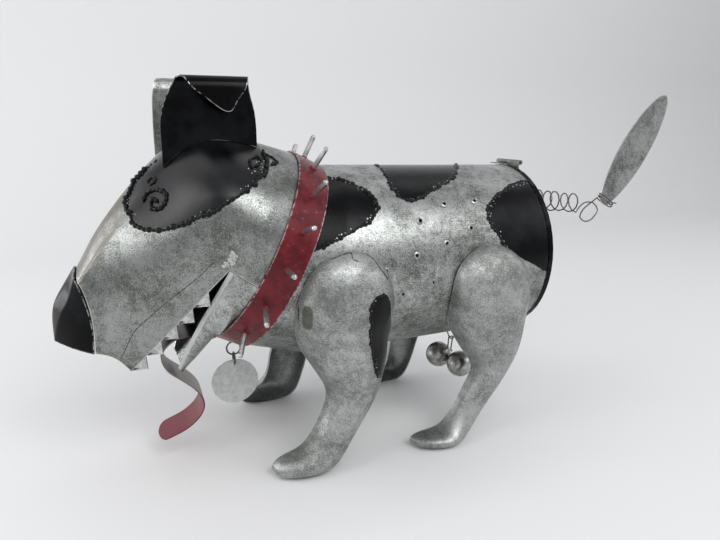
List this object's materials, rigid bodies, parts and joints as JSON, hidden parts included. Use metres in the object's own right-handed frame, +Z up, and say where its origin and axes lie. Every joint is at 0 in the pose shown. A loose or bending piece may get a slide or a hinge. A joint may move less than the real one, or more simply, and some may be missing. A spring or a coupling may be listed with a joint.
{
  "type": "welded sheet metal dog sculpture",
  "caption": "Standing dog sculpture of welded scrap steel: barrel body with hinged rear lid, long snout, pointed teeth, spiked collar, tag and spring tail",
  "frame": {"origin": "centre of the bounding box on the floor under the feet", "axes": "nose points to -X, tail to +X, the dog's left side to -Y, up is +Z"},
  "size_m": [0.6408, 0.22, 0.3294],
  "materials": {
    "mottled_steel": "weathered mottled grey steel sheet with satin sheen",
    "black_paint": "semi gloss black paint",
    "red_paint": "dark crimson enamel",
    "bright_steel": "bright light grey steel",
    "plain_wire": "plain drawn wire",
    "tongue_paint": "dull red paint over steel strip"
  },
  "bodies": {
    "dog": {"body_barrel": "mottled_steel", "collar": "red_paint", "head_shell": "mottled_steel", "lower_jaw": "mottled_steel", "teeth_left": "bright_steel", "teeth_right": "bright_steel", "nose": "black_paint", "tongue": "tongue_paint", "ear_left": "black_paint", "ear_right": "mottled_steel", "leg_front_left": "mottled_steel", "leg_front_right": "mottled_steel", "leg_rear_left": "mottled_steel", "leg_rear_right": "mottled_steel", "hinge_leaf_body": "mottled_steel", "hinge_pin": "plain_wire", "tag_ring_upper": "plain_wire", "tag_ring_lower": "plain_wire", "tag_disc": "bright_steel", "belly_ring": "plain_wire", "ball_wire": "plain_wire", "ball_front": "mottled_steel", "ball_rear": "mottled_steel", "collar_spike_01": "bright_steel", "collar_spike_02": "bright_steel", "collar_spike_03": "bright_steel", "collar_spike_04": "bright_steel", "collar_spike_05": "bright_steel", "collar_spike_06": "bright_steel", "collar_spike_07": "bright_steel", "collar_spike_08": "bright_steel", "collar_spike_09": "bright_steel", "collar_spike_10": "bright_steel", "collar_spike_11": "bright_steel", "collar_spike_12": "bright_steel", "collar_spike_13": "bright_steel"},
    "lid": {"rear_lid": "black_paint", "hinge_leaf_lid": "black_paint", "tail_spring": "plain_wire", "tail_blade": "mottled_steel"}
  },
  "joints": [
    {"name": "rear_lid", "type": "hinge", "parent": "dog", "child": "lid", "pos_m": [0.111, 0.00019, 0.25528], "axis": [0, -1, 0], "range_deg": [0, 110]}
  ]
}
